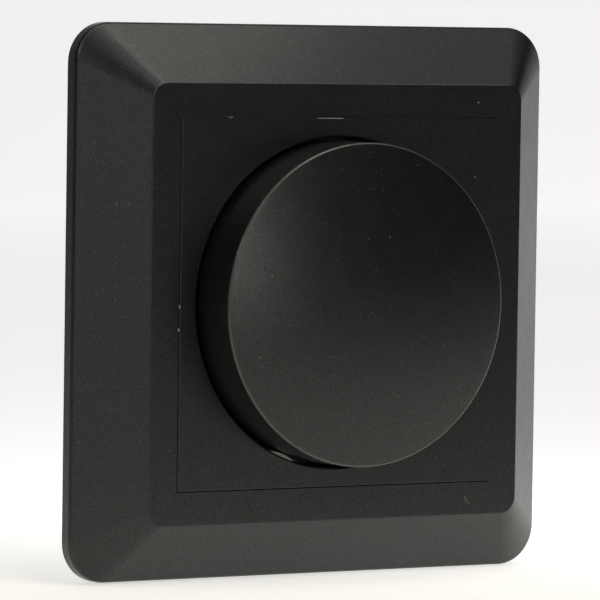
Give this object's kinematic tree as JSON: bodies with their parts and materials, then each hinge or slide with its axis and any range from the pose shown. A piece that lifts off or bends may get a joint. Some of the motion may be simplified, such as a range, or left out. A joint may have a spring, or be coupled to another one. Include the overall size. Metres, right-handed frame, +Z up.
{
  "type": "rotary dimmer switch",
  "caption": "Square wall-mounted rotary dimmer with a bevelled surround, a flush centre plate and a round knob that turns and is pushed to switch.",
  "frame": {"origin": "middle of the wall plane, on the knob's axis", "axes": "+Y into the wall, +Z up, front facing -Y"},
  "size_m": [0.082, 0.0444, 0.082],
  "materials": {
    "surround_frame": "fine matt texture, black",
    "centre_plate": "fine matt texture, black",
    "knob": "fine matt texture, black",
    "knob_clip": "spring steel",
    "bush_nut": "nickel plated brass",
    "bush_washer": "zinc plated",
    "bush": "turned brass",
    "shaft": "turned brass",
    "shaft_clip": "spring steel",
    "pot_case": "black moulding",
    "rotor": "off-white moulding",
    "wiper": "phosphor bronze",
    "resistive_track": "printed carbon",
    "track_wafer": "phenolic wafer",
    "pot_base": "black moulding",
    "push_plunger": "off-white moulding",
    "contact_bridge": "silver plated bronze",
    "return_spring": "spring wire",
    "fixed_contacts": "tinned brass",
    "pot_pins": "tinned brass",
    "support_frame": "zinc plated sheet",
    "support_screws": "zinc plated",
    "front_housing": "grey thermoset",
    "rear_housing": "grey thermoset",
    "housing_screws": "zinc plated",
    "circuit_board": "green solder mask",
    "power_transistors": "moulded package",
    "heat_spreader": "rolled sheet",
    "choke_core": "coated iron powder",
    "choke_winding": "enamelled copper",
    "film_capacitor": "yellow box",
    "electrolytic_capacitor": "sleeved can",
    "control_chip": "moulded package",
    "fuse_tube": "clear tube",
    "fuse_caps": "nickel plated",
    "fuse_clips": "tinned bronze",
    "terminal_cages": "nickel plated brass",
    "terminal_screws": "zinc plated"
  },
  "bodies": {
    "housing": {"surround_frame": "surround_frame", "centre_plate": "centre_plate", "bush_nut": "bush_nut", "bush_washer": "bush_washer", "bush": "bush", "pot_case": "pot_case", "resistive_track": "resistive_track", "track_wafer": "track_wafer", "pot_base": "pot_base", "return_spring": "return_spring", "fixed_contacts": "fixed_contacts", "pot_pins": "pot_pins", "support_frame": "support_frame", "support_screws": "support_screws", "front_housing": "front_housing", "rear_housing": "rear_housing", "housing_screws": "housing_screws", "circuit_board": "circuit_board", "power_transistors": "power_transistors", "heat_spreader": "heat_spreader", "choke_core": "choke_core", "choke_winding": "choke_winding", "film_capacitor": "film_capacitor", "electrolytic_capacitor": "electrolytic_capacitor", "control_chip": "control_chip", "fuse_tube": "fuse_tube", "fuse_caps": "fuse_caps", "fuse_clips": "fuse_clips", "terminal_cages": "terminal_cages", "terminal_screws": "terminal_screws"},
    "rotor": {"rotor": "rotor", "wiper": "wiper"},
    "knob": {"knob": "knob", "knob_clip": "knob_clip", "shaft": "shaft", "shaft_clip": "shaft_clip"},
    "plunger": {"push_plunger": "push_plunger", "contact_bridge": "contact_bridge"}
  },
  "joints": [
    {"name": "knob_turn", "type": "hinge", "parent": "housing", "child": "rotor", "pos_m": [0, 0, 0], "axis": [0, 1, 0], "range_deg": [-140, 140]},
    {"name": "knob_push", "type": "slide", "parent": "rotor", "child": "knob", "axis": [0, 1, 0], "range_m": [0, 0.001], "stiffness_N_per_m": 2000, "springref_m": -0.0015},
    {"name": "plunger_push", "type": "slide", "parent": "housing", "child": "plunger", "axis": [0, 1, 0], "range_m": [0, 0.001], "deforming": ["return_spring"]}
  ],
  "couplings": [
    {"joint": "plunger_push", "follows": "knob_push", "ratio": 1}
  ]
}
